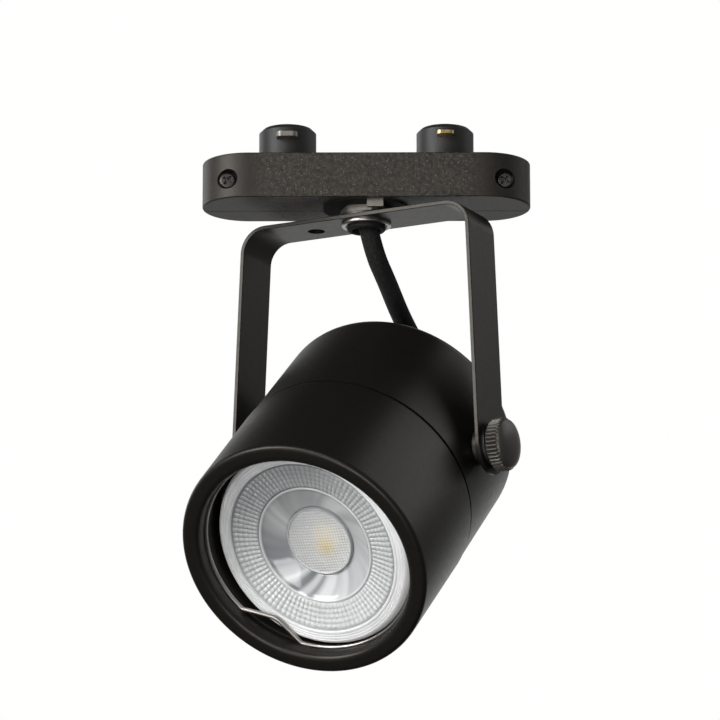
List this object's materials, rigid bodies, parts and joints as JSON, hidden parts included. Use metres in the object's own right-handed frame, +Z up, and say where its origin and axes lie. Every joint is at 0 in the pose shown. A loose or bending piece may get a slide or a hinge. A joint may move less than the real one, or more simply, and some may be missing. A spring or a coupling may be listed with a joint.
{
  "type": "track spotlight",
  "caption": "Track spotlight: pill-shaped track adapter, U-shaped yoke that turns and tilts, and a short round can holding a reflector lamp behind a wire snap ring.",
  "frame": {"origin": "where the swivel axis meets the adapter's flat top face, which bears against the underside of the track", "axes": "+X along the track and the adapter's length, +Y across the track away from the two screws, +Z up into the track along the swivel axis"},
  "size_m": [0.0822, 0.0863, 0.1345],
  "materials": {
    "adapter_plastic": "black moulded plastic with a fine spark-eroded texture, satin",
    "lock_plastic": "smooth satin black moulded plastic",
    "black_paint": "satin black powder coat, very fine grain",
    "nickel": "bright nickel plate",
    "zinc_steel": "zinc-plated steel",
    "black_screw": "black-oxide steel",
    "knob_plastic": "semi-gloss black plastic",
    "black_rubber": "matt black rubber",
    "cable_sleeve": "black braided glass-fibre sleeve",
    "brass": "plain brass",
    "lamp_white": "white moulded plastic, satin",
    "lamp_lens": "clear moulded polycarbonate optic",
    "led_yellow": "phosphor-yellow silicone",
    "board": "white solder mask",
    "driver_board": "green solder mask",
    "ceramic": "unglazed steatite ceramic",
    "lead_insulation": "white silicone insulation"
  },
  "bodies": {
    "adapter": {"front_shell": "adapter_plastic", "rear_shell": "adapter_plastic", "case_screws": "black_screw", "swivel_collar": "black_rubber", "stop_plate": "zinc_steel", "supply_wires": "lead_insulation"},
    "contact_lock": {"contact_rotor": "lock_plastic", "contact_blades": "brass"},
    "track_lock": {"lock_rotor": "lock_plastic", "lock_dog": "zinc_steel"},
    "yoke": {"yoke": "black_paint", "swivel_stem": "nickel", "cable_bush": "black_rubber", "cable_upper": "cable_sleeve", "swivel_nut": "zinc_steel", "lock_washer": "black_screw", "spring_washer": "zinc_steel", "retaining_nut": "nickel", "stop_pin": "zinc_steel", "pivot_spacer_left": "black_rubber", "pivot_spacer_right": "black_rubber", "arm_washer_left": "black_screw", "arm_washer_right": "black_screw", "lead_cable": "cable_sleeve"},
    "head": {"rear_cap": "black_paint", "front_tube": "black_paint", "snap_ring": "nickel", "cable_grommet": "black_rubber", "cable_tail": "cable_sleeve", "lamp_bezel": "lamp_white", "lamp_lens": "lamp_lens", "lamp_body": "lamp_white", "led_board": "board", "led_chip": "led_yellow", "driver_board": "driver_board", "lamp_base": "lamp_white", "lamp_pins": "zinc_steel", "lampholder": "ceramic", "holder_contacts": "brass", "holder_leads": "lead_insulation", "pivot_insert_left": "black_screw", "pivot_insert_right": "black_screw"},
    "knob_left": {"knob_left": "knob_plastic", "knob_stud_left": "zinc_steel"},
    "knob_right": {"knob_right": "knob_plastic", "knob_stud_right": "zinc_steel"}
  },
  "joints": [
    {"name": "yoke_pan", "type": "hinge", "parent": "adapter", "child": "yoke", "pos_m": [0, 0, -0.011], "axis": [0, 0, 1], "range_deg": [-210, 111]},
    {"name": "head_tilt", "type": "hinge", "parent": "yoke", "child": "head", "pos_m": [0, 0, -0.073], "axis": [0.8902, -0.4555, 0], "range_deg": [-40.8, 49.2], "deforming": ["lead_cable"]},
    {"name": "knob_turn_left", "type": "hinge", "parent": "head", "child": "knob_left", "pos_m": [0, 0, -0.073], "axis": [-0.8902, 0.4555, 0], "range_deg": [0, 360]},
    {"name": "knob_turn_right", "type": "hinge", "parent": "head", "child": "knob_right", "pos_m": [0, 0, -0.073], "axis": [0.8902, -0.4555, 0], "range_deg": [0, 360]},
    {"name": "contact_turn", "type": "hinge", "parent": "adapter", "child": "contact_lock", "pos_m": [0.019, 0, 0], "axis": [0, 0, 1], "range_deg": [0, 90], "deforming": ["supply_wires"]},
    {"name": "track_lock_turn", "type": "hinge", "parent": "adapter", "child": "track_lock", "pos_m": [-0.019, 0, 0], "axis": [0, 0, 1], "range_deg": [-90, 0]}
  ]
}
